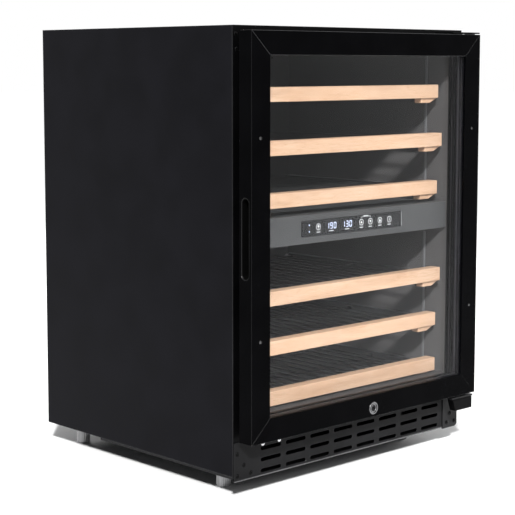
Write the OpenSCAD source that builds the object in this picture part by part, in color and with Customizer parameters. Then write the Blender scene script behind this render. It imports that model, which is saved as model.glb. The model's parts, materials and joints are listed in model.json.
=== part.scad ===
// Built-in dual-zone wine cooler with a glazed door, six wooden-fronted shelves and a machine bay.
// Frame: origin on the floor under the middle of the box, +X right, +Y to the back, +Z up.

/* [Cabinet] */
// Width of the cabinet and of the door
cabinet_w = 595; // [580:1:610]
// Height from the floor to the top, with the feet screwed in
cabinet_h = 805; // [800:1:815]
// Depth from the back panel to the front of the lock
cabinet_d = 580; // [575:1:590]
// Thickness of the outer steel sheets
skin_t = 1; // [0.8:0.1:1.2]
// From the outside of a side panel to the inner face of the liner
wall_t = 35.5; // [34:0.5:38]
// Height of the lower edge of the side panels above the floor
side_bottom = 45; // [43:1:48]
// Height of the underside of the base pan above the floor
pan_bottom = 36; // [34:1:38]

/* [Door] */
// Thickness of the door frame
door_t = 30; // [29:1:31]
// Gap between the door frame and the cabinet, which the gasket fills
door_gap = 15; // [14:0.5:16]
// Height of the lower edge of the door above the floor
door_bottom = 108; // [106:1:110]
// Height of the upper edge of the door above the floor
door_top = 796; // [794:1:797]
// Width of the two stiles
stile_w = 42.5; // [41:0.5:44]
// Height of the two rails
rail_h = 40.5; // [39:0.5:42]
// Diameter of the hinge pins
hinge_pin_d = 8; // [7:0.5:9]
// How far the ring of the lock stands out of the door
lock_proud = 1; // [0.5:0.5:1.5]
// Diameter of the ring of the lock
lock_d = 23; // [20:1:24]
// Length of the finger grip in the side of the door
grip_len = 137; // [120:1:150]

/* [Interior] */
// Height of the liner's floor
liner_floor = 143.5; // [143:0.5:145]
// Height of the liner's ceiling
liner_top = 770; // [766:1:771]
// Lower edge of the control band between the two zones
band_bottom = 428.3; // [427:0.1:430]
// Upper edge of the control band
band_top = 478.7; // [477:0.1:480]
// Height of the shelf boards
board_h = 25.5; // [23:0.5:26]
// Thickness of the shelf boards
board_t = 22; // [18:1:24]
// Overall width of a shelf
shelf_w = 498; // [490:1:498]
// Diameter of the shelf rods
rod_d = 5; // [4:0.5:6]

/* [Base] */
// Number of slot columns in the kick plate
slot_columns = 8; // [6:1:8]
// Length of one kick plate slot
slot_len = 49; // [44:1:50]
// Diameter of the feet
foot_d = 26; // [24:1:30]
// Diameter of the threaded stud of a foot
stud_d = 10; // [8:1:12]
// Diameter of the condenser fan
big_fan_d = 112; // [100:1:116]
// Diameter of the two zone fans
zone_fan_d = 84; // [76:1:90]

/* [Hidden] */
$fn = 48;
half_w = cabinet_w / 2;
back_y = cabinet_d / 2;
door_y = -cabinet_d / 2 + lock_proud;
door_back_y = door_y + door_t;
face_y = door_back_y + door_gap;
frame_t = 1.5;
shell_y = face_y + frame_t;
inner_x = half_w - wall_t;
liner_t = 2;
liner_back = 225;
step_y = 75;
step_z = 230;
foam_back = back_y - skin_t;
bay_floor_top = 110;
bay_y = 107;
bay_top = 205;
bay_sheet = 1;
band_y = face_y + 4;
band_depth = 25;
divider_t = 2.5;
glass_t = 1.8;
panel_y = 190;
panel_t = 2.5;
fit = 0.3;
running = 0.05;

// Upper faces of the shelf boards, and how far each shelf stands forward of the others.
shelf_z = [702, 610.5, 519, 352, 263, 174];
shelf_forward = [0, 10, 0, 10, 0, 0];
shelf_front = face_y + 15;
shelf_back = panel_y - 5;
short_back = step_y - 6;
slide_t = 5;
slide_h = 13;
weld = 1.5;
rod_pairs = 8;
rod_gap = 26;

// Glazing: two panes in a groove that runs round the inside of the frame.
lip_w = 14;
lip_t = 3;
pane_t = 4;
spacer_t = 14;
groove_t = 2 * pane_t + spacer_t + 0.4;
pane_half = half_w - stile_w + lip_w - 1;
pane_low = door_bottom + rail_h - lip_w + 1;
pane_high = door_top - rail_h + lip_w - 1;
glass_low = door_bottom + rail_h;
glass_high = door_top - rail_h;

// The hinge axis stands upright near the right front corner.
axis_x = half_w - 12.5;
axis_y = door_y + 15;
bush_r = 7;
bush_h = 16;
hinge_leaf_t = 2.5;
top_leaf_z = door_top + 1.5;
arm_z = door_bottom - 8;
arm_t = 3.7;
cover_left = 235;

grip_z = 453.5;
grip_w = 19;
grip_depth = 20;
grip_wall = 1.5;
lock_x = 5;
lock_z = 123.5;
key_lean = 30;
barrel_r = 5.5;
lock_core_r = 6.8;

foot_x = 237;
foot_front_y = -153;
foot_rear_y = 258;
stud_top = pan_bottom + 54;
pan_t = 1.5;

slot_h = 7;
slot_pitch = 60.8;
slot_row = 19.7;
kick_left = -half_w + 0.5;
kick_right = 252;
kick_low = 36;
kick_high = 104;
kick_t = 1.5;

zone_fan_z = [650, 330];
zone_motor_y = 206;
zone_bar = 52;
zone_shaft_r = 1.5;
big_motor_x = 38;
big_bar = 70;
big_shaft_r = 2.5;
motor_len = 7;
bar_t = 3;
fan_gap = 0.5;
bay_mid_y = 196;
bay_mid_z = 122;
pipe_r = 3;
joint_grow = 0.4;
pipe_x = 205;
pipe_y = 258;
plate_z = [560, 262];

// Screws of the two hinges, as X and Z, and spare ones for a door that is hung on the left.
low_hinge_holes = [[276, 62], [266, 45], [289, 45]];
spare_low_holes = [[-289, 84], [-274, 63], [-258, 46.5], [-289, 46]];
top_hinge_holes = [[232, 791], [258, 791], [289, 791]];
spare_top_holes = [[-291, 790], [-289, 765]];
kick_holes = [[-230, 92.5], [-190.5, 92.5]];
screw_r = 2.5;
head_r = 4;

// ---- helpers ----

module block(low, high) {
    translate(low) cube(high - low);
}

module both_sides() {
    children();
    mirror([1, 0, 0]) children();
}

// A cylinder that runs along +Y from the given point.
module rod_y(point, r, len) {
    translate(point) rotate([-90, 0, 0]) cylinder(r = r, h = len);
}

// A cylinder that runs along +X from the given point.
module rod_x(point, r, len) {
    translate(point) rotate([0, 90, 0]) cylinder(r = r, h = len);
}

// A slot with round ends that is cut along Y, with its long way along X.
module slot_x(centre, len, height, depth) {
    reach = (len - height) / 2;
    translate(centre) {
        translate([-reach, 0, -height / 2]) cube([2 * reach, depth, height]);
        rod_y([-reach, 0, 0], height / 2, depth);
        rod_y([reach, 0, 0], height / 2, depth);
    }
}

// A round-ended bar that lies along Z and stands out along X, for the finger grip.
module grip_shape(len, width, depth) {
    reach = (len - width) / 2;
    translate([0, -width / 2, -reach]) cube([depth, width, 2 * reach]);
    for (end = [-reach, reach]) rod_x([0, 0, end], width / 2, depth);
}

// A tube that follows a list of points, with a brazed joint at each bend.
module pipe_run(points, r) {
    for (i = [0 : len(points) - 2]) {
        step = points[i + 1] - points[i];
        flat = norm([step[0], step[1]]);
        translate(points[i])
            rotate([0, atan2(flat, step[2]), atan2(step[1], step[0])])
                cylinder(r = r, h = norm(step));
    }
    for (i = [1 : len(points) - 2]) translate(points[i]) sphere(r = r + joint_grow);
}

// ---- cabinet ----

module side_panel() {
    color([0.12, 0.12, 0.13]) {
        block([-half_w, shell_y, side_bottom], [-half_w + skin_t, back_y, cabinet_h]);
        block([-half_w, shell_y, side_bottom], [-half_w + 26, back_y, side_bottom + skin_t]);
    }
}

module left_side_panel() {
    side_panel();
}

module right_side_panel() {
    mirror([1, 0, 0]) side_panel();
}

module top_panel() {
    color([0.12, 0.12, 0.13]) {
        block([-half_w + skin_t, shell_y, cabinet_h - skin_t], [half_w - skin_t, back_y, cabinet_h]);
        block([-half_w + skin_t, shell_y, cabinet_h - 8],
              [half_w - skin_t, shell_y + skin_t, cabinet_h - skin_t]);
    }
}

module rear_panels() {
    edge = half_w - skin_t;
    color([0.2, 0.2, 0.21]) {
        block([-edge, foam_back, bay_top + 0.5], [edge, back_y, cabinet_h - skin_t]);
        difference() {
            block([-edge, foam_back, side_bottom + skin_t + 0.5], [edge, back_y, bay_top]);
            for (row = [0 : 4], column = [0 : 6])
                slot_x([-150 + 50 * column, foam_back - 1, 75 + 24 * row], 38, 6, 4);
            rod_y([-250, foam_back - 1, 150], 10.3, 4);
        }
    }
}

module front_frame() {
    low = kick_low + 2;
    air_x = 240;
    color([0.07, 0.07, 0.07])
        difference() {
            block([-half_w, face_y, low], [half_w, shell_y, cabinet_h]);
            block([-inner_x, face_y - 1, liner_floor], [inner_x, shell_y + 1, liner_top]);
            block([-air_x, face_y - 1, low + 3], [air_x, shell_y + 1, kick_high - 6]);
            for (hole = concat(low_hinge_holes, spare_low_holes, top_hinge_holes, spare_top_holes))
                rod_y([hole[0], face_y - 5, hole[1]], screw_r + 0.1, 10);
        }
}

module base_pan() {
    t = pan_t;
    pan_x = 268;
    skirt_x = 277;
    skirt_end = 150;
    skirt_low = pan_bottom - 4;
    lip_z = side_bottom + skin_t;
    color([0.15, 0.15, 0.16])
        difference() {
            union() {
                block([-pan_x, shell_y + 0.5, pan_bottom], [pan_x, foam_back - 0.5, pan_bottom + t]);
                both_sides() {
                    block([-pan_x, shell_y + 0.5, pan_bottom], [-pan_x + t, foam_back - 0.5, lip_z + t]);
                    block([-half_w + skin_t + 0.5, shell_y + 0.5, lip_z],
                          [-pan_x + t, foam_back - 0.5, lip_z + t]);
                    block([-skirt_x, shell_y + 0.5, pan_bottom], [-pan_x + t, skirt_end, pan_bottom + t]);
                    block([-skirt_x, shell_y + 0.5, skirt_low], [-skirt_x + t, skirt_end, pan_bottom + t]);
                }
                for (x = [-foot_x, foot_x], y = [foot_front_y, foot_rear_y])
                    translate([x, y, pan_bottom]) cylinder(d = 17, h = 10);
            }
            for (x = [-foot_x, foot_x], y = [foot_front_y, foot_rear_y])
                translate([x, y, pan_bottom - 1]) cylinder(r = stud_d / 2 + running, h = 20);
        }
}

// One bent sheet closes the foam above the machine bay and above the air way under the floor.
module bulkhead() {
    s = bay_sheet;
    outline = [
        [shell_y, bay_floor_top], [bay_y, bay_floor_top], [bay_y, bay_top - s],
        [foam_back, bay_top - s], [foam_back, bay_top], [bay_y - s, bay_top],
        [bay_y - s, bay_floor_top + s], [shell_y, bay_floor_top + s]
    ];
    color([0.5, 0.5, 0.5])
        difference() {
            translate([-half_w + skin_t, 0, 0]) rotate([90, 0, 90])
                linear_extrude(cabinet_w - 2 * skin_t) polygon(outline);
            translate([pipe_x, pipe_y, bay_top - 5]) cylinder(r = pipe_r + 0.5, h = 10);
        }
}

// The inside of the liner seen from the side: a step at the bottom makes room for the machine bay.
module liner_outline(grow) {
    polygon([
        [shell_y - 1, liner_floor - grow], [step_y + grow, liner_floor - grow],
        [step_y + grow, step_z - grow], [liner_back + grow, step_z - grow],
        [liner_back + grow, liner_top + grow], [shell_y - 1, liner_top + grow]
    ]);
}

module liner_solid(half, grow) {
    translate([-half, 0, 0]) rotate([90, 0, 90]) linear_extrude(2 * half) liner_outline(grow);
}

module pipe_holes(r) {
    for (z = plate_z) rod_y([pipe_x, liner_back - 2, z], r, 30);
}

module liner() {
    color([0.24, 0.24, 0.24])
        difference() {
            liner_solid(inner_x + liner_t, liner_t);
            liner_solid(inner_x, 0);
            block([-half_w, shell_y - 5, 0], [half_w, shell_y, cabinet_h]);
            pipe_holes(pipe_r + 0.5);
        }
}

module foam_insulation() {
    outer = half_w - skin_t - 0.2;
    top = cabinet_h - skin_t - 0.2;
    color([0.9, 0.87, 0.7])
        difference() {
            block([-outer, shell_y + skin_t + 0.2, bay_floor_top + bay_sheet],
                  [outer, foam_back - 0.2, top]);
            liner_solid(inner_x + liner_t + 0.1, liner_t + 0.1);
            block([-half_w, bay_y - bay_sheet, 0], [half_w, back_y, bay_top]);
            refrigerant_lines(pipe_r + 0.5);
        }
    color([0.9, 0.87, 0.7]) divider_slab(divider_t);
}

// The divider between the zones carries the control band on its front edge.
module divider_slab(inset) {
    translate([0, inset, 0])
        block([-inner_x + fit + inset, band_y + band_depth - 3, band_bottom + 2 + inset],
              [inner_x - fit - inset, liner_back - fit - 2 * inset, band_top - 2 - inset]);
}

module zone_divider() {
    slab_y = band_y + band_depth;
    color([0.33, 0.33, 0.34])
        difference() {
            union() {
                divider_slab(0);
                block([-inner_x + fit, band_y, band_bottom], [inner_x - fit, slab_y, band_top]);
            }
            divider_slab(divider_t);
            block([-132, band_y + 2.6, band_bottom + 8], [132, slab_y - 5, band_top - 8]);
            block([-128, band_y - 1, 442.5], [128, band_y + 4, 466.5]);
            control_glass_shape(0.2, glass_t);
        }
}

module control_glass_shape(grow, depth) {
    corner = 3;
    half = 132.5 + grow;
    low = 440 - grow;
    high = 469 + grow;
    translate([0, band_y - 0.6, 0]) {
        block([-half, 0, low + corner], [half, depth, high - corner]);
        block([-half + corner, 0, low], [half - corner, depth, high]);
        for (x = [-half + corner, half - corner], z = [low + corner, high - corner])
            rod_y([x, 0, z], corner, depth);
    }
}

module control_glass() {
    color([0.05, 0.05, 0.06])
        control_glass_shape(0, glass_t);
}

module control_board() {
    board_y = band_y + 9;
    post_len = band_depth - 5 - 9 - 1.6;
    color([0.05, 0.3, 0.15]) {
        block([-126, board_y, 441], [126, board_y + 1.6, 468]);
        for (x = [-52, -10]) block([x - 13, board_y - 6.4, 448], [x + 13, board_y, 462]);
        for (x = [-88, 34, 58, 82, 106]) rod_y([x, board_y - 6.4, 455], 4.5, 6.4);
        for (x = [-118, 118]) rod_y([x, board_y - 5, 455], 3, 5);
        block([-20, board_y + 1.6, 444], [20, board_y + 7, 451]);
        for (x = [-115, 115]) rod_y([x, board_y + 1.6, 455], 4, post_len);
    }
}

module air_panel(low, high, fan_z) {
    difference() {
        block([-inner_x + fit, panel_y, low + fit], [inner_x - fit, panel_y + panel_t, high - fit]);
        for (x = [-200 : 40 : 200]) {
            slot_x([x, panel_y - 1, low + 16], 30, 5, 5);
            slot_x([x, panel_y - 1, high - 16], 30, 5, 5);
        }
        for (row = [-3 : 3]) {
            z = 12 * row;
            len = 2 * sqrt(pow(zone_fan_d / 2, 2) - z * z);
            slot_x([0, panel_y - 1, fan_z + z], len, 7, 5);
        }
    }
}

module air_panels() {
    color([0.3, 0.3, 0.3]) {
        air_panel(band_top - 2, liner_top, zone_fan_z[0]);
        air_panel(step_z, band_bottom + 2, zone_fan_z[1]);
    }
}

// An evaporator: a plate with three tube rows, fixed to the back of the liner.
module cold_plate(z) {
    block([-170, liner_back - 2, z - 30], [170, liner_back - 0.5, z + 30]);
    for (row = [-20, 0, 20]) rod_x([-160, liner_back - 5, z + row], 3.5, 320);
}

module cold_plates() {
    color([0.8, 0.8, 0.82]) {
        for (z = plate_z) cold_plate(z);
    }
}

// A motor on a cross bar, with a shaft that carries a fan. The motor points along -Y.
module fan_bracket(bar, motor_r, shaft_r) {
    shaft_len = 6.5;
    block([-bar, motor_len, -6], [bar, motor_len + bar_t, 6]);
    rod_y([0, 0, 0], motor_r, motor_len);
    rod_y([0, -shaft_len, 0], shaft_r, shaft_len + 1);
}

module fan_brackets() {
    color([0.1, 0.1, 0.1]) {
        for (z = zone_fan_z) {
            post_y = zone_motor_y + motor_len + bar_t;
            translate([0, zone_motor_y, z]) fan_bracket(zone_bar, 14, zone_shaft_r);
            for (x = [5 - zone_bar, zone_bar - 5]) rod_y([x, post_y, z], 4, liner_back - post_y);
        }
        translate([big_motor_x, bay_mid_y, bay_mid_z]) rotate([0, 0, -90]) {
            fan_bracket(big_bar, 20, big_shaft_r);
            for (x = [4 - big_bar, big_bar - 4])
                block([x - 4, motor_len, pan_bottom + pan_t - bay_mid_z], [x + 4, motor_len + bar_t, 6]);
        }
    }
}

// Blades around a hub, with a blind bore for the motor's shaft. The fan faces along -Y.
module fan(d, hub_r, blades, depth, shaft_r) {
    difference() {
        union() {
            rod_y([0, -depth, 0], hub_r, depth);
            for (i = [0 : blades - 1])
                rotate([0, i * 360 / blades, 0])
                    translate([hub_r - 1, -depth / 2, 0]) rotate([32, 0, 0])
                        translate([0, -0.8, -d / 8]) cube([d / 2 - hub_r - 1, 1.6, d / 4]);
        }
        rod_y([0, 2 - depth, 0], shaft_r + running, depth);
    }
}

module zone_fan(z) {
    color([0.2, 0.2, 0.2])
        translate([0, zone_motor_y - fan_gap, z]) fan(zone_fan_d, 16, 7, 9.5, zone_shaft_r);
}

module upper_fan() {
    zone_fan(zone_fan_z[0]);
}

module lower_fan() {
    zone_fan(zone_fan_z[1]);
}

module condenser_fan() {
    color([0.2, 0.2, 0.2])
        translate([big_motor_x - fan_gap, bay_mid_y, bay_mid_z]) rotate([0, 0, -90])
            fan(big_fan_d, 22, 5, 10, big_shaft_r);
}

// Slim lamps stand on the side walls a hand's breadth behind the front edge.
module light_strips() {
    lamp_y = face_y + 53;
    color([0.85, 0.85, 0.85])
        both_sides() {
            block([-inner_x, lamp_y, band_top + 12], [-inner_x + 2.5, lamp_y + 4, liner_top - 12]);
            block([-inner_x, lamp_y, liner_floor + 12], [-inner_x + 2.5, lamp_y + 4, band_bottom - 12]);
        }
}

// ---- shelves ----

function shelf_y(i) = shelf_front - shelf_forward[i];
function shelf_end(i) = i == 5 ? short_back : shelf_back;
function slide_z(i) = shelf_z[i] - board_h + 1;

module shelf_rails() {
    inside = shelf_w / 2 + fit;
    color([0.55, 0.55, 0.55])
        for (i = [0 : 5])
            both_sides() {
                z = slide_z(i) + 1;
                block([-inner_x, shelf_front + 58, z], [-inner_x + 4, shelf_end(i), z + 11]);
                block([-inner_x + 3, shelf_front + 58, z + 2], [-inside, shelf_end(i), z + 9]);
            }
}

// A beech board with a chamfered block under each end.
module shelf_board(i) {
    front = shelf_y(i);
    top = shelf_z[i];
    low = top - board_h;
    end_x = shelf_w / 2;
    drop = i == 5 ? 3 : 9;
    block_w = 46;
    chamfer = 20;
    color([0.93, 0.8, 0.68]) {
        block([-end_x, front, low], [end_x, front + board_t, top]);
        both_sides()
            translate([0, front + board_t - 2, 0]) rotate([90, 0, 0])
                linear_extrude(board_t - 6)
                    polygon([[-end_x, low], [-end_x + block_w, low], [-end_x + block_w, low - drop],
                             [-end_x + chamfer, low - drop]]);
    }
}

// Two slides, two cross bars and pairs of rods that hold the bottles.
module shelf_rack(i) {
    front = shelf_y(i) + board_t;
    back = shelf_end(i) - 4 - shelf_forward[i];
    edge = shelf_w / 2;
    z = slide_z(i);
    rod_z = z + slide_h - rod_d / 2;
    pitch = (shelf_w - 60) / rod_pairs;
    color([0.16, 0.16, 0.16]) {
        both_sides() block([-edge, front, z], [-edge + slide_t, back, z + slide_h]);
        for (y = [front + 4, (front + back) / 2, back - 12])
            block([-edge + slide_t, y, z + 1], [edge - slide_t, y + 8, z + slide_h - rod_d + weld]);
        for (pair = [0 : rod_pairs - 1], side = [-1, 1]) {
            x = (pair - (rod_pairs - 1) / 2) * pitch + side * rod_gap / 2;
            rod_y([x, front, rod_z], rod_d / 2, back - front);
        }
    }
}

module shelf_1_board() { shelf_board(0); }
module shelf_1_rack() { shelf_rack(0); }
module shelf_2_board() { shelf_board(1); }
module shelf_2_rack() { shelf_rack(1); }
module shelf_3_board() { shelf_board(2); }
module shelf_3_rack() { shelf_rack(2); }
module shelf_4_board() { shelf_board(3); }
module shelf_4_rack() { shelf_rack(3); }
module shelf_5_board() { shelf_board(4); }
module shelf_5_rack() { shelf_rack(4); }
module shelf_6_board() { shelf_board(5); }
module shelf_6_rack() { shelf_rack(5); }

// ---- front of the base ----

module kick_plate() {
    first_x = -(slot_columns - 1) / 2 * slot_pitch;
    middle = 2.5;
    color([0.14, 0.14, 0.15])
        difference() {
            union() {
                block([kick_left, face_y - kick_t, kick_low], [kick_right, face_y, kick_high]);
                block([kick_left, face_y - kick_t, kick_low], [kick_right, shell_y, kick_low + kick_t]);
            }
            for (row = [0 : 2], column = [0 : slot_columns - 1])
                slot_x([first_x + middle + column * slot_pitch, face_y - 5, kick_low + 9 + row * slot_row],
                       slot_len, slot_h, 10);
            for (hole = concat(spare_low_holes, kick_holes))
                rod_y([hole[0], face_y - 5, hole[1]], screw_r + 0.3, 10);
        }
}

module screw(place, from_y, head) {
    rod_y([place[0], from_y - head, place[1]], head_r, head);
    rod_y([place[0], from_y, place[1]], screw_r, shell_y - 0.2 - from_y);
}

module cabinet_screws() {
    color([0.1, 0.1, 0.1]) {
        for (place = low_hinge_holes) screw(place, face_y - 3, 1.6);
        for (place = top_hinge_holes) screw(place, face_y - hinge_leaf_t, 1.6);
        for (place = concat(spare_low_holes, kick_holes)) screw(place, face_y - kick_t, 1);
        for (place = spare_top_holes) screw(place, face_y, 1);
    }
}

module bottom_hinge_bracket() {
    leaf_t = 3;
    left = kick_right + 2;
    low = 34;
    corner = 8;
    right = half_w - 0.5;
    color([0.18, 0.18, 0.18])
        difference() {
            union() {
                block([left, face_y - leaf_t, low + corner], [right, face_y, arm_z + arm_t]);
                block([left, face_y - leaf_t, low], [right - corner, face_y, low + corner + 1]);
                rod_y([right - corner, face_y - leaf_t, low + corner], corner, leaf_t);
                block([left, door_y + 4, arm_z], [right, face_y, arm_z + arm_t]);
                block([cover_left, door_y + 4, arm_z], [left + 1, door_y + 16, arm_z + arm_t]);
                translate([axis_x, axis_y, arm_z]) cylinder(d = hinge_pin_d, h = 8 + bush_h - 1);
            }
            for (hole = low_hinge_holes) rod_y([hole[0], face_y - 5, hole[1]], screw_r + 0.3, 10);
        }
}

// A shallow tray under the front of the hinge arm hides it.
module hinge_cover() {
    t = 2;
    slant = 8;
    low = [cover_left, door_y + 2, 78];
    high = [half_w - 5, door_y + 16, arm_z];
    outside = [[low[0], high[2]], [low[0] + slant, low[2]], [high[0], low[2]], [high[0], high[2]]];
    inside = [
        [low[0] + t, high[2] + 1], [low[0] + t, high[2]], [low[0] + slant + t, low[2] + t],
        [high[0] - t, low[2] + t], [high[0] - t, high[2] + 1]
    ];
    color([0.1, 0.1, 0.1])
        difference() {
            translate([0, high[1], 0]) rotate([90, 0, 0]) linear_extrude(high[1] - low[1]) polygon(outside);
            translate([0, high[1] - t, 0]) rotate([90, 0, 0])
                linear_extrude(high[1] - low[1] - 2 * t) polygon(inside);
        }
}

module top_hinge_bracket() {
    left = 218;
    right = half_w - 0.5;
    color([0.12, 0.12, 0.12])
        difference() {
            union() {
                block([left, door_y + 1, top_leaf_z], [right, face_y, top_leaf_z + hinge_leaf_t]);
                block([left, face_y - hinge_leaf_t, 785], [right, face_y, top_leaf_z + hinge_leaf_t]);
                translate([axis_x, axis_y, top_leaf_z - bush_h]) cylinder(d = hinge_pin_d, h = bush_h + 1);
            }
            for (hole = top_hinge_holes) rod_y([hole[0], face_y - 5, hole[1]], screw_r + 0.3, 10);
        }
}

// ---- machine bay ----

module compressor() {
    r = 62;
    low = 52;
    high = 176;
    seam = 118;
    color([0.1, 0.1, 0.1])
        translate([150, bay_mid_y, 0]) {
            rotate_extrude()
                polygon([[0, low], [r - 18, low], [r - 5, low + 8], [r, low + 22], [r, seam - 3],
                         [r + 4, seam - 3], [r + 4, seam + 3], [r, seam + 3], [r, high - 26],
                         [r - 8, high - 10], [r - 24, high], [0, high]]);
            difference() {
                block([-60, -60, low - 3], [60, 60, low + 2]);
                for (x = [-50, 50], y = [-50, 50]) translate([x, y, low - 5]) cylinder(r = 4.3, h = 10);
            }
        }
}

module compressor_mounts() {
    floor_z = pan_bottom + pan_t;
    color([0.08, 0.08, 0.08])
        for (x = [-50, 50], y = [-50, 50])
            translate([150 + x, bay_mid_y + y, floor_z]) {
                cylinder(r = 9, h = 11.3);
                cylinder(r = 4, h = 20);
            }
}

module condenser() {
    left = -190;
    right = -60;
    near = 132;
    far = 260;
    low = pan_bottom + pan_t + 2;
    high = 184;
    fins = 20;
    color([0.75, 0.75, 0.76]) {
        for (i = [0 : fins - 1]) {
            y = near + i * (far - near) / (fins - 1);
            block([left, y, low], [right, y + 1, high - 2]);
        }
        for (x = [left + 18 : 32 : right - 10], z = [80 : 28 : 170])
            rod_y([x, near - 5, z], 3.5, far - near + 11);
        for (x = [left, right - 1.5]) block([x, near, pan_bottom + pan_t], [x + 1.5, far, high]);
    }
}

// The lines leave the compressor, pass behind the condenser and climb in the foam to both zones.
module refrigerant_lines(r) {
    coil_y = liner_back - 5;
    upper_z = plate_z[0];
    lower_z = plate_z[1];
    pipe_run([[165, 257, 90], [165, 276, 90], [-76, 276, 90], [-76, 276, 80], [-76, 266, 80]], r);
    pipe_run([[185, 248.5, 70], [pipe_x, pipe_y, 110], [pipe_x, pipe_y, upper_z],
              [pipe_x, coil_y, upper_z], [160, coil_y, upper_z]], r);
    pipe_run([[pipe_x, pipe_y, lower_z], [pipe_x, coil_y, lower_z], [160, coil_y, lower_z]], r);
}

module refrigerant_pipes() {
    color([0.72, 0.43, 0.25])
        refrigerant_lines(pipe_r);
}

module drip_tray() {
    t = 1.5;
    color([0.1, 0.1, 0.1])
        translate([150, bay_mid_y, 0])
            difference() {
                block([-55, -50, 176.5], [55, 50, 194]);
                block([-55 + t, -50 + t, 176.5 + t], [55 - t, 50 - t, 200]);
            }
}

module power_box() {
    color([0.15, 0.15, 0.15]) {
        block([-290, 130, side_bottom + skin_t + pan_t], [-212, 225, 170]);
        rod_y([-250, 224, 150], 7, foam_back - 224);
        difference() {
            rod_y([-250, foam_back - 12, 150], 10, back_y - foam_back + 12);
            rod_y([-250, back_y - 6, 150], 4, 8);
        }
    }
}

// ---- door ----

// One mitred member of the door frame, lying along X, with its outer edge at z = 0.
module frame_member(len, width, end_cut) {
    intersection() {
        rotate([90, 0, 90]) linear_extrude(len)
            difference() {
                square([door_t, width]);
                translate([lip_t, width - lip_w]) square([groove_t, lip_w + 1]);
            }
        translate([0, door_t + 1, 0]) rotate([90, 0, 0]) linear_extrude(door_t + 2)
            polygon([[0, 0], [len, 0], [len - end_cut, width], [end_cut, width]]);
    }
}

module hinge_pockets() {
    for (z = [door_bottom - 1, door_top - bush_h])
        translate([axis_x, axis_y, z]) cylinder(r = bush_r, h = bush_h + 1);
}

module top_rail() {
    color([0.03, 0.03, 0.03])
        difference() {
            translate([-half_w, door_y, door_top]) mirror([0, 0, 1])
                frame_member(cabinet_w, rail_h, stile_w);
            hinge_pockets();
        }
}

module bottom_rail() {
    color([0.03, 0.03, 0.03])
        difference() {
            translate([-half_w, door_y, door_bottom]) frame_member(cabinet_w, rail_h, stile_w);
            hinge_pockets();
            rod_y([lock_x, door_y - 1, lock_z], lock_core_r, door_t + 2);
            rod_y([lock_x, door_y - 1, lock_z], lock_d / 2, 3);
        }
}

module plug_places() {
    for (x = [-277, 277], z = [281, 620]) translate([x, door_y, z]) children();
}

module stile_blank() {
    rotate([0, -90, 0]) frame_member(door_top - door_bottom, stile_w, rail_h);
}

module grip_stile() {
    color([0.03, 0.03, 0.03])
        difference() {
            translate([-half_w, door_y, door_bottom]) mirror([1, 0, 0]) stile_blank();
            translate([-half_w - 1, door_y + door_t / 2, grip_z])
                grip_shape(grip_len, grip_w, grip_depth + 1);
            plug_places() rod_y([0, -1, 0], 3, 4);
        }
}

module hinge_stile() {
    color([0.03, 0.03, 0.03])
        difference() {
            translate([half_w, door_y, door_bottom]) stile_blank();
            hinge_pockets();
            plug_places() rod_y([0, -1, 0], 3, 4);
        }
}

module grip_cup() {
    color([0.05, 0.05, 0.05])
        translate([-half_w, door_y + door_t / 2, grip_z])
            difference() {
                grip_shape(grip_len, grip_w, grip_depth);
                translate([-1, 0, 0])
                    grip_shape(grip_len - 2 * grip_wall, grip_w - 2 * grip_wall,
                        grip_depth + 1 - grip_wall);
            }
}

module pane(y) {
    block([-pane_half, y, pane_low], [pane_half, y + pane_t, pane_high]);
}

module outer_pane() {
    color([0.3, 0.32, 0.33, 0.5]) pane(door_y + lip_t + 0.2);
}

module inner_pane() {
    color([0.3, 0.32, 0.33, 0.5]) pane(door_y + lip_t + 0.2 + pane_t + spacer_t);
}

module glazing_spacer() {
    y = door_y + lip_t + 0.2 + pane_t;
    inner = half_w - stile_w + 1;
    outer = inner + 7;
    color([0.35, 0.35, 0.36])
        difference() {
            block([-outer, y, glass_low - 8], [outer, y + spacer_t, glass_high + 8]);
            block([-inner, y - 1, glass_low - 1], [inner, y + spacer_t + 1, glass_high + 1]);
        }
}

// A flexible seal with a wide foot on the door and a narrower magnetic bulb towards the cabinet.
module gasket_ring(inset, width, y0, y1) {
    x = inner_x + 6 + inset;
    low = liner_floor - 1.5 - inset;
    high = liner_top + 1.5 + inset;
    difference() {
        block([-x - width, y0, low - width], [x + width, y1, high + width]);
        block([-x, y0 - 1, low], [x, y1 + 1, high]);
    }
}

module door_gasket() {
    neck_y = door_back_y + 6;
    color([0.12, 0.12, 0.12]) {
        gasket_ring(0, 11, door_back_y, neck_y);
        gasket_ring(1.5, 8, neck_y, face_y - fit);
    }
}

module frame_plugs() {
    color([0.09, 0.09, 0.09])
        plug_places() rod_y([0, 0.2, 0], 2.9, 2.6);
}

module hinge_bush(z, flange_z, flange_h) {
    translate([axis_x, axis_y, 0])
        difference() {
            union() {
                translate([0, 0, z]) cylinder(r = bush_r - 0.02, h = bush_h);
                translate([0, 0, flange_z]) cylinder(r = 10, h = flange_h);
            }
            translate([0, 0, flange_z - 60]) cylinder(r = hinge_pin_d / 2 + running, h = 120);
        }
}

module hinge_bushes() {
    color([0.2, 0.2, 0.2]) {
        hinge_bush(door_bottom, arm_z + arm_t + fit, door_bottom - arm_z - arm_t - fit);
        hinge_bush(door_top - bush_h, door_top, top_leaf_z - door_top - fit);
    }
}

module lock_body() {
    color([0.8, 0.8, 0.8])
        difference() {
            union() {
                rod_y([lock_x, door_y - lock_proud, lock_z], lock_d / 2 - 0.2, lock_proud + 1.9);
                rod_y([lock_x, door_y + 1, lock_z], lock_core_r - 0.05, door_t - 1);
            }
            rod_y([lock_x, door_y - 5, lock_z], barrel_r + running, door_t + 20);
        }
}

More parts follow.
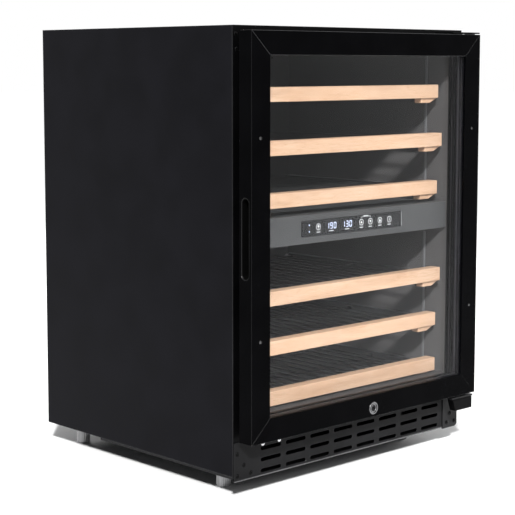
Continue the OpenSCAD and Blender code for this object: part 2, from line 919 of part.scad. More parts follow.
// The barrel carries the key slot at the front and the cam behind the door.
module lock_barrel() {
    cam_y = door_back_y + 1;
    color([0.6, 0.6, 0.6]) {
        difference() {
            rod_y([lock_x, door_y - lock_proud + 0.4, lock_z], barrel_r, door_t + lock_proud + 3);
            translate([lock_x, door_y, lock_z]) rotate([0, key_lean, 0]) block([-0.9, -5, -4], [0.9, 6, 4]);
        }
        block([lock_x - 18, cam_y, lock_z - 5], [lock_x + 5, cam_y + 2, lock_z + 5]);
    }
}

// ---- feet ----

module foot(x, y) {
    color([0.45, 0.45, 0.46])
        translate([x, y, 0]) {
            cylinder(d1 = foot_d - 2, d2 = foot_d, h = 1);
            translate([0, 0, 1]) cylinder(d = foot_d, h = pan_bottom - 1);
            cylinder(d = stud_d, h = stud_top);
        }
}

module front_left_foot() { foot(-foot_x, foot_front_y); }
module front_right_foot() { foot(foot_x, foot_front_y); }
module rear_left_foot() { foot(-foot_x, foot_rear_y); }
module rear_right_foot() { foot(foot_x, foot_rear_y); }

left_side_panel();
right_side_panel();
top_panel();
rear_panels();
front_frame();
base_pan();
bulkhead();
foam_insulation();
liner();
zone_divider();
control_glass();
control_board();
air_panels();
cold_plates();
fan_brackets();
light_strips();
shelf_rails();
kick_plate();
top_hinge_bracket();
bottom_hinge_bracket();
hinge_cover();
cabinet_screws();
compressor();
compressor_mounts();
condenser();
refrigerant_pipes();
drip_tray();
power_box();
top_rail();
bottom_rail();
grip_stile();
hinge_stile();
outer_pane();
inner_pane();
glazing_spacer();
door_gasket();
grip_cup();
frame_plugs();
hinge_bushes();
lock_body();
lock_barrel();
upper_fan();
lower_fan();
condenser_fan();
front_left_foot();
front_right_foot();
rear_left_foot();
rear_right_foot();
shelf_1_board();
shelf_1_rack();
shelf_2_board();
shelf_2_rack();
shelf_3_board();
shelf_3_rack();
shelf_4_board();
shelf_4_rack();
shelf_5_board();
shelf_5_rack();
shelf_6_board();
shelf_6_rack();
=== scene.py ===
import json
import math

import bmesh
import bpy
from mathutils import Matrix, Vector

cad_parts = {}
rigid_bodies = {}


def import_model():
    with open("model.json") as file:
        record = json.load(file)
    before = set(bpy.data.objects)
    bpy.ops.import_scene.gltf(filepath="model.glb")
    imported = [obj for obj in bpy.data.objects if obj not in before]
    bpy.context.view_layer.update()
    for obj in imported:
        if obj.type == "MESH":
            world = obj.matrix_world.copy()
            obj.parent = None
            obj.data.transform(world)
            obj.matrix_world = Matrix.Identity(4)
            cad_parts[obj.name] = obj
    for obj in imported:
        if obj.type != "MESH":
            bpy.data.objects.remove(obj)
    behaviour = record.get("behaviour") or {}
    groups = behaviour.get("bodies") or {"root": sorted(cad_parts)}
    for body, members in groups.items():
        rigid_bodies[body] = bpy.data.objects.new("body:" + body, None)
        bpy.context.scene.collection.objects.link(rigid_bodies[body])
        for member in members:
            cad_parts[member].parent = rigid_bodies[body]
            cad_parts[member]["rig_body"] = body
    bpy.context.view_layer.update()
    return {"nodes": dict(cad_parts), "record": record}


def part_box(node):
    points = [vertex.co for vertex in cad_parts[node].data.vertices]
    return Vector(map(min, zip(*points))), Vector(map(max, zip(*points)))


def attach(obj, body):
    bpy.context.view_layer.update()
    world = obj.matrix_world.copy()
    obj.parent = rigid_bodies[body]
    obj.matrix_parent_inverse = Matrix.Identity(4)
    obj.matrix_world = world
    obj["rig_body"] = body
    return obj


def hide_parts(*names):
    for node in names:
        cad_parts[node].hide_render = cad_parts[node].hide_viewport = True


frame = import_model()
MM = 0.001

# ---- camera, floor and light ----

CAMERA_PLACE = Vector((-1.9247, -2.0125, 0.7408))
CAMERA_TURN = 0.7568  # from straight at the door towards its hinge side, in radians
CAMERA_DIP = 0.1076
CAMERA_LENS = 101.82
CAMERA_SHIFT = (0.011, -0.07)


def make_camera():
    data = bpy.data.cameras.new("camera")
    data.lens = CAMERA_LENS
    data.sensor_width = 36
    data.shift_x, data.shift_y = CAMERA_SHIFT
    camera = bpy.data.objects.new("camera", data)
    bpy.context.scene.collection.objects.link(camera)
    camera.location = CAMERA_PLACE
    ahead = Vector((
        math.sin(CAMERA_TURN) * math.cos(CAMERA_DIP),
        math.cos(CAMERA_TURN) * math.cos(CAMERA_DIP),
        -math.sin(CAMERA_DIP),
    ))
    camera.rotation_euler = ahead.to_track_quat("-Z", "Y").to_euler()
    bpy.context.scene.camera = camera


def make_light(name, kind, place, target, energy, **settings):
    data = bpy.data.lights.new(name, kind)
    data.energy = energy
    for key, value in settings.items():
        setattr(data, key, value)
    light = bpy.data.objects.new(name, data)
    bpy.context.scene.collection.objects.link(light)
    light.location = place
    light.rotation_euler = (Vector(target) - Vector(place)).to_track_quat("-Z", "Y").to_euler()
    return light


def make_lights():
    middle = (0, 0, 0.4)
    make_light("key", "SUN", (-1.67, -1.88, 1.64), (0, 0, 0), 5.8, angle=math.radians(5))
    make_light("front_box", "AREA", (-1.3, -3.0, 1.9), middle, 24, shape="RECTANGLE", size=1.4, size_y=1.4)
    make_light("top_box", "AREA", (-0.2, -0.3, 2.6), middle, 20, shape="RECTANGLE", size=1.4, size_y=1.0)
    make_light("right_box", "AREA", (3.2, -0.2, 1.4), middle, 36, shape="RECTANGLE", size=1.4, size_y=1.6)
    make_light("back_box", "AREA", (1.6, 3.2, 1.8), middle, 45, shape="RECTANGLE", size=1.6, size_y=1.2)


def make_world():
    """A white studio for the eye and for mirror reflections, which adds little to the other light."""
    world = bpy.data.worlds.new("studio")
    world.use_nodes = True
    bpy.context.scene.world = world
    nodes = world.node_tree.nodes
    links = world.node_tree.links
    nodes.clear()
    path = nodes.new("ShaderNodeLightPath")
    seen = nodes.new("ShaderNodeBackground")
    seen.inputs["Color"].default_value = (1, 1, 1, 1)
    lit = nodes.new("ShaderNodeBackground")
    lit.inputs["Color"].default_value = (0.96, 0.98, 1, 1)
    lit.inputs["Strength"].default_value = 0.085
    mixed = nodes.new("ShaderNodeMixShader")
    out = nodes.new("ShaderNodeOutputWorld")
    bright = nodes.new("ShaderNodeMath")
    bright.operation = "MAXIMUM"
    links.new(path.outputs["Is Camera Ray"], bright.inputs[0])
    links.new(path.outputs["Is Glossy Ray"], bright.inputs[1])
    links.new(bright.outputs[0], mixed.inputs[0])
    links.new(lit.outputs[0], mixed.inputs[1])
    links.new(seen.outputs[0], mixed.inputs[2])
    links.new(mixed.outputs[0], out.inputs["Surface"])
    bpy.context.scene.view_settings.view_transform = "Standard"


# ---- node materials ----

class Surface:
    """One material's node tree. A socket takes a plain value or another node's output."""

    def __init__(self, name):
        self.material = bpy.data.materials.new(name)
        self.material.use_nodes = True
        self.tree = self.material.node_tree
        self.tree.nodes.clear()
        self.place = self.add("TexCoord").outputs["Object"]

    def add(self, kind, sockets=None, **settings):
        node = self.tree.nodes.new("ShaderNode" + kind)
        for key, value in settings.items():
            setattr(node, key, value)
        for key, value in (sockets or {}).items():
            if isinstance(value, bpy.types.NodeSocket):
                self.tree.links.new(value, node.inputs[key])
            else:
                node.inputs[key].default_value = value
        return node

    def stretched(self, stretch):
        return self.add("Mapping", {"Vector": self.place, "Scale": stretch}).outputs[0]

    def noise(self, scale, detail=3, stretch=(1, 1, 1), roughness=0.5, distortion=0.0):
        return self.add("TexNoise", {
            "Vector": self.stretched(stretch), "Scale": scale, "Detail": detail,
            "Roughness": roughness, "Distortion": distortion,
        }).outputs["Fac"]

    def ramp(self, fac, *stops):
        node = self.add("ValToRGB", {"Fac": fac})
        elements = node.color_ramp.elements
        while len(elements) < len(stops):
            elements.new(0.5)
        for element, (position, colour) in zip(elements, stops):
            element.position = position
            element.color = (*colour, 1)
        return node.outputs["Color"]

    def spread(self, fac, low, high, start=0.3, end=0.7):
        return self.add("MapRange", {
            "Value": fac, "From Min": start, "From Max": end, "To Min": low, "To Max": high,
        }).outputs[0]

    def sums(self, first, second, operation="ADD"):
        return self.add("Math", {0: first, 1: second}, operation=operation).outputs[0]

    def relief(self, height, depth):
        return self.add("Bump", {"Height": height, "Distance": depth, "Strength": 1.0}).outputs[0]

    def shader(self, **sockets):
        names = {key.replace("_", " "): value for key, value in sockets.items()}
        return self.add("BsdfPrincipled", names)

    def finish(self, shader):
        self.add("OutputMaterial", {"Surface": shader.outputs[0]})
        return self.material


def paint(name, dark, light, rough, level=0.25, grain=900, depth=0.03):
    """Baked paint: a faint mottle in the colour, orange peel, and fine dust in the gloss."""
    s = Surface(name)
    mottle = s.noise(14, 4)
    peel = s.noise(grain, 2)
    dust = s.noise(grain * 5, 1)
    colour = s.ramp(mottle, (0.35, dark), (0.65, light))
    return s.finish(s.shader(
        Base_Color=colour, Roughness=s.spread(s.sums(mottle, dust), rough[0], rough[1], 0.7, 1.3),
        Specular_IOR_Level=level, Normal=s.relief(peel, depth * MM),
    ))


def metal(name, dark, light, rough, stretch=(1, 1, 1), grain=400, depth=0.01, metallic=1.0, level=0.5):
    """Bare or plated metal: the grain runs along the axis that stretch makes short."""
    s = Surface(name)
    cloud = s.noise(22, 4)
    lines = s.noise(grain, 3, stretch)
    return s.finish(s.shader(
        Base_Color=s.ramp(s.sums(cloud, lines, "MULTIPLY"), (0.12, dark), (0.4, light)),
        Metallic=metallic, Roughness=s.spread(lines, rough[0], rough[1]), Specular_IOR_Level=level,
        Normal=s.relief(lines, depth * MM),
    ))


def moulding(name, dark, light, rough, level=0.4):
    """Moulded plastic: spark-eroded grain, with slow changes of gloss from the mould."""
    s = Surface(name)
    flow = s.noise(9, 3, distortion=0.6)
    pits = s.add("TexVoronoi", {"Vector": s.place, "Scale": 1500}).outputs["Distance"]
    return s.finish(s.shader(
        Base_Color=s.ramp(flow, (0.3, dark), (0.7, light)),
        Roughness=s.spread(flow, rough[0], rough[1]), Specular_IOR_Level=level,
        Normal=s.relief(pits, 0.02 * MM),
    ))


def rubber(name, dark, light):
    """Matt rubber with a faint bloom and a fine skin."""
    s = Surface(name)
    bloom = s.noise(60, 5)
    skin = s.noise(2600, 2)
    return s.finish(s.shader(
        Base_Color=s.ramp(bloom, (0.35, dark), (0.7, light)),
        Roughness=s.spread(bloom, 0.62, 0.82), Specular_IOR_Level=0.3,
        Sheen_Weight=0.05, Normal=s.relief(skin, 0.02 * MM),
    ))


def pane_glass(name, tint, gloss):
    """Clear coated pane glass with roller waviness: it is tinted, and mirrors a little at low angles."""
    s = Surface(name)
    wave = s.noise(5, 1)
    clear = s.add("BsdfTransparent", {"Color": s.ramp(
        wave, (0.3, tint), (0.7, tuple(min(1, c * 1.01) for c in tint)))})
    mirror = s.add("BsdfGlossy", {
        "Color": (*gloss, 1), "Roughness": 0.02, "Normal": s.relief(wave, 0.02 * MM)})
    edge = s.add("Fresnel", {"IOR": 1.12})
    return s.finish(s.add("MixShader", {0: edge.outputs[0], 1: clear.outputs[0], 2: mirror.outputs[0]}))


def beech(name):
    """Steamed beech with its grain along X: broad figure, fine fibres, and short dark rays."""
    s = Surface(name)
    figure = s.noise(55, 5, (0.1, 1, 1), roughness=0.65, distortion=0.4)
    fibre = s.noise(900, 3, (0.03, 1, 1))
    rays = s.noise(420, 1, (0.3, 1, 2.4))
    patch = s.noise(16, 2, (0.6, 1, 1))
    body = s.ramp(
        figure, (0.3, (0.53, 0.345, 0.235)), (0.5, (0.62, 0.415, 0.29)), (0.7, (0.68, 0.475, 0.345)))
    flecks = s.ramp(rays, (0.62, (1, 1, 1)), (0.72, (0.74, 0.64, 0.54)))
    streaks = s.ramp(fibre, (0.35, (0.91, 0.88, 0.84)), (0.65, (1, 1, 1)))
    blush = s.ramp(patch, (0.35, (1, 0.96, 0.92)), (0.65, (1, 1, 1)))
    colour = body
    for layer in (flecks, streaks, blush):
        mix = s.add("Mix", {0: 1.0, 6: colour, 7: layer}, data_type="RGBA", blend_type="MULTIPLY")
        colour = mix.outputs[2]
    return s.finish(s.shader(
        Base_Color=colour, Roughness=s.spread(fibre, 0.42, 0.6),
        Specular_IOR_Level=0.3, Normal=s.relief(fibre, 0.04 * MM),
    ))


def circuit(name):
    """Green solder mask with copper tracks under it."""
    s = Surface(name)
    tracks = s.add("TexBrick", {
        "Vector": s.place, "Scale": 60.0, "Mortar Size": 0.03, "Mortar Smooth": 0.1,
        "Color1": (0.01, 0.09, 0.035, 1), "Color2": (0.015, 0.12, 0.045, 1), "Mortar": (0.05, 0.24, 0.1, 1),
    })
    return s.finish(s.shader(
        Base_Color=tracks.outputs["Color"], Roughness=s.spread(s.noise(300), 0.25, 0.4),
        Normal=s.relief(tracks.outputs["Fac"], 0.03 * MM),
    ))


def foam_block(name):
    """Yellowish poured foam with open cells."""
    s = Surface(name)
    cells = s.add("TexVoronoi", {"Vector": s.place, "Scale": 500.0}).outputs["Distance"]
    return s.finish(s.shader(
        Base_Color=s.ramp(s.noise(30), (0.3, (0.62, 0.5, 0.22)), (0.7, (0.75, 0.64, 0.34))),
        Roughness=s.spread(cells, 0.75, 0.9, 0.0, 1.0), Normal=s.relief(cells, 0.2 * MM),
    ))


def lamp_cover(name):
    """A ribbed milky lens of a lamp that is switched off."""
    s = Surface(name)
    ribs = s.add("TexWave", {"Vector": s.place, "Scale": 160.0, "Distortion": 0.0}, bands_direction="Z")
    milk = s.ramp(ribs.outputs["Fac"], (0.0, (0.1, 0.1, 0.105)), (1.0, (0.16, 0.16, 0.165)))
    return s.finish(s.shader(
        Base_Color=milk, Roughness=s.spread(s.noise(200), 0.3, 0.42),
        Normal=s.relief(ribs.outputs["Fac"], 0.1 * MM),
    ))


def lit_ink(name, colour, strength):
    """Light that comes through a printed window, a little uneven as an LED behind it is."""
    s = Surface(name)
    patch = s.noise(300, 1)
    shade = s.ramp(patch, (0.3, tuple(c * 0.8 for c in colour)), (0.7, colour))
    return s.finish(s.shader(
        Base_Color=shade, Roughness=s.spread(patch, 0.3, 0.4),
        Emission_Color=shade, Emission_Strength=strength,
    ))


def gloss_face(name):
    """Smoked control glass, printed black behind."""
    s = Surface(name)
    wave = s.noise(40, 2)
    return s.finish(s.shader(
        Base_Color=s.ramp(wave, (0.3, (0.006, 0.006, 0.007)), (0.7, (0.009, 0.009, 0.011))),
        Roughness=s.spread(wave, 0.05, 0.09), Specular_IOR_Level=0.35,
        Normal=s.relief(wave, 0.005 * MM),
    ))


ALONG_Y, ALONG_Z = (1, 0.02, 1), (1, 1, 0.02)


def painted_parts():
    """Each row holds the dark and light tone, the range of roughness, and the specular level."""
    rows = {
        "case_steel": ((0.0026, 0.0026, 0.0036), (0.004, 0.004, 0.0054), (0.42, 0.52), 0.045),
        "rear_steel": ((0.014, 0.014, 0.015), (0.02, 0.02, 0.022), (0.45, 0.6), 0.15),
        "front_steel": ((0.0006, 0.0006, 0.0007), (0.0012, 0.0012, 0.0014), (0.35, 0.45), 0.04),
        "kick_steel": ((0.0048, 0.0048, 0.0052), (0.008, 0.008, 0.0085), (0.4, 0.5), 0.08),
        "hinge_steel": ((0.008, 0.008, 0.0085), (0.013, 0.013, 0.0135), (0.4, 0.5), 0.12),
        "plug_gloss": ((0.006, 0.006, 0.006), (0.01, 0.01, 0.011), (0.08, 0.14), 0.9),
        # The next three finishes are much lighter than the paint beside them: painted highlight lines on
        # rounded edges and on the kick plate's hem.
        "frame_edge_highlight": ((0.008, 0.008, 0.009), (0.014, 0.014, 0.016), (0.16, 0.24), 0.7),
        "hem_highlight": ((0.05, 0.05, 0.052), (0.09, 0.09, 0.093), (0.15, 0.25), 0.6),
        "cabinet_edge_highlight": ((0.008, 0.008, 0.009), (0.015, 0.015, 0.017), (0.2, 0.3), 0.5),
        "frame_black": ((0.0008, 0.0008, 0.001), (0.0013, 0.0013, 0.0016), (0.13, 0.2), 0.012, 1400, 0.006),
        "compressor_paint": ((0.006, 0.006, 0.006), (0.01, 0.01, 0.011), (0.3, 0.42)),
        "rack_wire": ((0.012, 0.012, 0.012), (0.02, 0.02, 0.021), (0.3, 0.42), 0.3),
        "screw_steel": ((0.001, 0.001, 0.001), (0.002, 0.002, 0.0022), (0.2, 0.3), 0.08),
    }
    return {name: paint(name, *row) for name, row in rows.items()}


def metal_parts():
    """Each row holds the dark and light tone and the range of roughness, then what is special to it."""
    rows = {
        "galvanised": ((0.2, 0.21, 0.22), (0.36, 0.37, 0.39), (0.4, 0.6), dict(grain=60)),
        "coil_metal": ((0.55, 0.56, 0.58), (0.8, 0.81, 0.83), (0.3, 0.45), dict(stretch=ALONG_Z)),
        "rail_steel": ((0.25, 0.25, 0.26), (0.5, 0.5, 0.52), (0.28, 0.42), dict(stretch=ALONG_Y)),
        "copper": ((0.5, 0.2, 0.1), (0.8, 0.42, 0.28), (0.25, 0.4), dict(grain=120)),
        "spacer_metal": (
            (0.004, 0.004, 0.005), (0.008, 0.008, 0.01), (0.4, 0.5),
            dict(stretch=ALONG_Z, metallic=0.1, level=0.08),
        ),
        "perforation": (
            (0.05, 0.05, 0.055), (0.08, 0.08, 0.088), (0.3, 0.4), dict(metallic=0.2, level=0.2),
        ),
        "lock_chrome": (
            (0.14, 0.14, 0.145), (0.22, 0.22, 0.225), (0.14, 0.22), dict(grain=200, depth=0.002),
        ),
        "lock_steel": ((0.014, 0.014, 0.015), (0.03, 0.03, 0.032), (0.25, 0.35), dict(grain=300)),
        "foot_metal": ((0.2, 0.2, 0.2), (0.38, 0.38, 0.39), (0.35, 0.5), dict(stretch=ALONG_Z)),
        "bright_screw": ((0.55, 0.55, 0.56), (0.8, 0.8, 0.82), (0.12, 0.22), dict(grain=300)),
    }
    return {name: metal(name, *tones, **special) for name, (*tones, special) in rows.items()}


def plastic_parts():
    """Each row holds the dark and light tone, the range of roughness, and the specular level."""
    rows = {
        "liner_plastic": ((0.066, 0.062, 0.062), (0.08, 0.076, 0.076), (0.45, 0.58), 0.2),
        "band_plastic": ((0.058, 0.058, 0.06), (0.071, 0.071, 0.073), (0.42, 0.52), 0.2),
        "motor_plastic": ((0.01, 0.01, 0.01), (0.016, 0.016, 0.017), (0.5, 0.62)),
        "fan_plastic": ((0.014, 0.014, 0.015), (0.02, 0.02, 0.022), (0.35, 0.45)),
        "grip_plastic": ((0.001, 0.001, 0.001), (0.002, 0.002, 0.002), (0.3, 0.4), 0.1),
        "bush_plastic": ((0.02, 0.02, 0.02), (0.03, 0.03, 0.03), (0.4, 0.5)),
    }
    return {
        **{name: moulding(name, *row) for name, row in rows.items()},
        "rubber_black": rubber("rubber_black", (0.009, 0.009, 0.009), (0.016, 0.016, 0.016)),
        "gasket_grey": rubber("gasket_grey", (0.04, 0.04, 0.04), (0.055, 0.055, 0.055)),
    }


def make_finishes():
    return {
        **painted_parts(), **metal_parts(), **plastic_parts(),
        "foam": foam_block("foam"),
        "control_face": gloss_face("control_face"),
        "circuit_board": circuit("circuit_board"),
        "lamp_lens": lamp_cover("lamp_lens"),
        "door_glass": pane_glass("door_glass", (0.985, 0.988, 0.988), (0.8, 0.8, 0.82)),
        "beech": beech("beech"),
        "read_out": lit_ink("read_out", (0.7, 0.76, 1.0), 0.7),
        "key_print": lit_ink("key_print", (0.8, 0.8, 0.82), 0.25),
    }


finishes = make_finishes()
slot_of = {part["node"]: part["material_slot"] for part in frame["record"]["subparts"]}


def dress_nodes():
    """Every CAD node takes the finish of its slot in the record."""
    for name, node in frame["nodes"].items():
        node.data.materials.clear()
        node.data.materials.append(finishes[slot_of[name]])


# ---- mesh helpers ----

def make_piece(name, mesh_or_bmesh, finish, body):
    """A new piece of the object from a mesh in the row frame, riding on a CAD body."""
    if isinstance(mesh_or_bmesh, bmesh.types.BMesh):
        mesh = bpy.data.meshes.new(name)
        mesh_or_bmesh.to_mesh(mesh)
        mesh_or_bmesh.free()
    else:
        mesh = mesh_or_bmesh
    piece = bpy.data.objects.new(name, mesh)
    bpy.context.scene.collection.objects.link(piece)
    mesh.materials.clear()
    mesh.materials.append(finishes[finish])
    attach(piece, body)
    return piece


SHARP = math.radians(32)


def smooth(piece, angle=SHARP):
    """Smooth shading that stays crisp at the sharp edges."""
    mesh = piece.data
    mesh.polygons.foreach_set("use_smooth", [True] * len(mesh.polygons))
    mesh.set_sharp_from_angle(angle=angle)
    return piece


def rounded_copy(node_name, width_mm, segments=2, edge=None):
    """The CAD node's own shape with its sharp edges rounded over; if edge is given, the rounded faces take
    that lighter finish, a painted highlight along the edges.
    """
    node = frame["nodes"][node_name]
    made = bmesh.new()
    made.from_mesh(node.data)
    bmesh.ops.remove_doubles(made, verts=made.verts, dist=0.002 * MM)
    bmesh.ops.dissolve_limit(made, angle_limit=math.radians(0.4), verts=made.verts, edges=made.edges)
    for face in made.faces:
        face.smooth = True
    mesh = bpy.data.meshes.new("round_" + node_name)
    made.to_mesh(mesh)
    made.free()
    for layer in [a.name for a in mesh.attributes if a.name == "custom_normal"]:
        mesh.attributes.remove(mesh.attributes[layer])
    mesh.set_sharp_from_angle(angle=SHARP)
    piece = make_piece("round_" + node_name, mesh, slot_of[node_name], node["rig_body"])
    bevel = piece.modifiers.new("edges", "BEVEL")
    bevel.width = width_mm * MM
    bevel.segments = segments
    bevel.limit_method = "ANGLE"
    bevel.angle_limit = SHARP
    bevel.use_clamp_overlap = True
    bevel.harden_normals = False
    # The rounded faces take the second, lighter finish: a painted highlight line along the edges.
    if edge:
        mesh.materials.append(finishes[edge])
        bevel.material = 1
    normals = piece.modifiers.new("normals", "WEIGHTED_NORMAL")
    normals.keep_sharp = True
    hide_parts(node_name)
    return piece


def separate_solids(node_name):
    """The points of each separate solid of a node, as lists of vectors in millimetres."""
    made = bmesh.new()
    made.from_mesh(frame["nodes"][node_name].data)
    bmesh.ops.remove_doubles(made, verts=made.verts, dist=0.002 * MM)
    left = set(made.verts)
    solids = []
    while left:
        reached = [left.pop()]
        for vert in reached:
            for edge in vert.link_edges:
                other = edge.other_vert(vert)
                if other in left:
                    left.remove(other)
                    reached.append(other)
        solids.append([vert.co / MM for vert in reached])
    made.free()
    return solids


def levels(points, axis):
    """The heights along an axis at which a turned solid has its edges."""
    return sorted({round(point[axis], 2) for point in points})


def middle_of(points, axis):
    """The middle of a solid's span along an axis."""
    values = [point[axis] for point in points]
    return (min(values) + max(values)) / 2


def evenly(count):
    """Angles that share a full turn equally."""
    return [math.tau * i / count for i in range(count)]


def turn(made, origin, along, rings, angles, bored=False):
    """Rings around an axis joined into one closed skin; a radius may be a function of the angle.

    A ring is a height, a radius and, for a second finish from there on, a material index.
    """
    along = Vector(along)
    across = along.orthogonal().normalized()
    up = along.cross(across)
    loops = []
    for height, radius, *_ in rings:
        loop = []
        for angle in angles:
            reach = radius(angle) if callable(radius) else radius
            spot = across * math.cos(angle) + up * math.sin(angle)
            loop.append(made.verts.new((Vector(origin) + along * height + spot * reach) * MM))
        loops.append(loop)
    pairs = list(zip(loops, loops[1:] + loops[:1])) if bored else list(zip(loops, loops[1:]))
    for (low, high), ring in zip(pairs, rings):
        for i, j in zip(range(len(angles)), [*range(1, len(angles)), 0]):
            face = made.faces.new((low[i], low[j], high[j], high[i]))
            face.material_index = ring[2] if len(ring) > 2 else 0
    if not bored:
        made.faces.new(loops[0][::-1])
        made.faces.new(loops[-1])


def add_finish(piece, finish):
    piece.data.materials.append(finishes[finish])
    return piece


def prism(made, outline, near, far):
    """A flat plate facing -Y from an outline of X and Z, counter-clockwise as seen from the front."""
    front = [made.verts.new(Vector((x, near, z)) * MM) for x, z in outline]
    back = [made.verts.new(Vector((x, far, z)) * MM) for x, z in outline]
    made.faces.new(front)
    made.faces.new(back[::-1])
    for i in range(len(outline)):
        j = (i + 1) % len(outline)
        made.faces.new((front[j], front[i], back[i], back[j]))


def strip(made, inner, outer, near, far):
    """A flat closed band facing -Y between two outlines of X and Z with as many points each."""
    loops = [
        [made.verts.new(Vector((x, y, z)) * MM) for x, z in outline]
        for outline, y in ((inner, far), (inner, near), (outer, near), (outer, far))
    ]
    count = len(inner)
    for low, high in zip(loops, loops[1:] + loops[:1]):
        for i in range(count):
            j = (i + 1) % count
            made.faces.new((low[j], low[i], high[i], high[j]))


# ---- screws, plugs and feet ----

CROSS_ARM, CROSS_HALF = 2.0, 0.45
SCREW_ANGLES = [
    math.radians(quarter + step)
    for quarter in (0, 90, 180, 270) for step in (0, 6, 12.7, 18, 25, 35, 45, 55, 65, 72, 77.3, 84)
]


def cross_shape(shrink):
    def radius(angle):
        cosine, sine = abs(math.cos(angle)), abs(math.sin(angle))
        large, small = max(cosine, sine), max(min(cosine, sine), 0.001)
        return shrink * min(CROSS_ARM / large, CROSS_HALF / small)
    return radius


def screw_rings(head_r, head_h, shank_r, shank_len):
    return [
        (-shank_len, shank_r * 0.8), (-shank_len + 0.5, shank_r), (0, shank_r), (0, head_r),
        (head_h * 0.35, head_r), (head_h * 0.75, head_r * 0.92), (head_h, head_r * 0.72),
        (head_h, cross_shape(1.0)), (head_h * 0.15, cross_shape(0.8)),
    ]


def make_cabinet_screws():
    """Cross-recessed screws: dark at the hinge places, and two bright ones further in on the kick plate."""
    hinge_places_from = 240
    dark, bright = bmesh.new(), bmesh.new()
    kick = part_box("kick_plate")
    for points in separate_solids("cabinet_screws"):
        x, z = middle_of(points, 0), middle_of(points, 2)
        front, seat, end = levels(points, 1)
        on_plate = abs(x) < hinge_places_from and z * MM < kick[1][2]
        turn(bright if on_plate else dark, (x, seat, z), (0, -1, 0),
             screw_rings(4.0, seat - front, 2.5, end - seat), SCREW_ANGLES)
    screws = make_piece("cross_head_screws", dark, "screw_steel", "cabinet")
    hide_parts("cabinet_screws")
    smooth(screws)
    smooth(make_piece("kick_plate_screws", bright, "bright_screw", "cabinet"))


def make_kick_hem():
    """The lower edge of the kick plate is folded over into a small bead, in a much lighter finish than the
    plate: a painted highlight along the bottom edge.
    """
    low, high = [Vector(corner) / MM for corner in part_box("kick_plate")]
    radius = 1.2
    made = bmesh.new()
    rings = [(0, 0.7), (0.4, radius), (high.x - low.x - 0.4, radius), (high.x - low.x, 0.7)]
    turn(made, (low.x, low.y + 0.5, low.z + radius), (1, 0, 0), rings, evenly(16))
    smooth(make_piece("kick_plate_hem", made, "hem_highlight", "cabinet"), math.radians(50))


def make_rear_screws():
    """Screws up both sides of the back and along its top, with two near the seam between its panels."""
    low, high = [Vector(corner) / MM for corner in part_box("rear_panels")]
    side_x, top_z = high.x - 9, high.z - 10
    places = [(side * side_x, z) for side in (-1, 1) for z in (low.z + 14, 196, 216, 410, 600, top_z)]
    places += [(x, top_z) for x in (-150, 0, 150)]
    rings = screw_rings(head_r=3.6, head_h=0.8, shank_r=1.6, shank_len=0.9)
    made = bmesh.new()
    for x, z in places:
        turn(made, (x, high.y, z), (0, 1, 0), rings, SCREW_ANGLES)
    smooth(make_piece("rear_panel_screws", made, "bright_screw", "cabinet"))


def make_frame_plugs():
    """Glossy domed plugs close the screw holes of the door's stiles."""
    made = bmesh.new()
    for points in separate_solids("frame_plugs"):
        front, back = levels(points, 1)
        rings = [(0, 2.9), (1.9, 2.9), (2.3, 2.6), (2.5, 1.9), (back - front, 0.9)]
        turn(made, (middle_of(points, 0), back, middle_of(points, 2)), (0, -1, 0), rings, evenly(32))
    plugs = smooth(make_piece("domed_plugs", made, "plug_gloss", "door"), math.radians(50))
    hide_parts("frame_plugs")


def knurl(angle):
    """The radius of a foot's sleeve, with 24 ridges around it."""
    return 12.6 + 0.4 * math.cos(24 * angle)


THREAD_PITCH, THREAD_ROOT, THREAD_CREST = 1.5, 4.4, 5.0


def make_feet():
    """Each foot is a knurled sleeve on a threaded stud."""
    for name in ("front_left_foot", "front_right_foot", "rear_left_foot", "rear_right_foot"):
        points = separate_solids(name)[0]
        heights = levels(points, 2)
        sleeve, top = heights[-2], heights[-1]
        rings = [
            (0, 11.4), (0.5, 12.1), (1.6, knurl),
            (sleeve - 1.6, knurl), (sleeve - 0.5, 12.1), (sleeve, 11.4),
        ]
        z = sleeve
        while z < top - THREAD_PITCH:
            rings += [(z, THREAD_ROOT), (z + 0.6, THREAD_CREST), (z + 0.9, THREAD_CREST)]
            z += THREAD_PITCH
        rings.append((top, 4.2))
        made = bmesh.new()
        turn(made, (middle_of(points, 0), middle_of(points, 1), 0), (0, 0, 1), rings, evenly(96))
        foot = smooth(make_piece("knurled_" + name, made, "foot_metal", name))
        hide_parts(name)


# ---- door details ----

KEY_LEAN = math.radians(30)


def key_slot(shrink):
    """The radius of a key slot that leans to the right at its top, around the lock's axis."""
    def radius(angle):
        turned = angle - KEY_LEAN
        across, along = abs(math.cos(turned)), abs(math.sin(turned))
        return shrink * min(1.3 / max(across, 0.001), 4.0 / max(along, 0.001))
    return radius


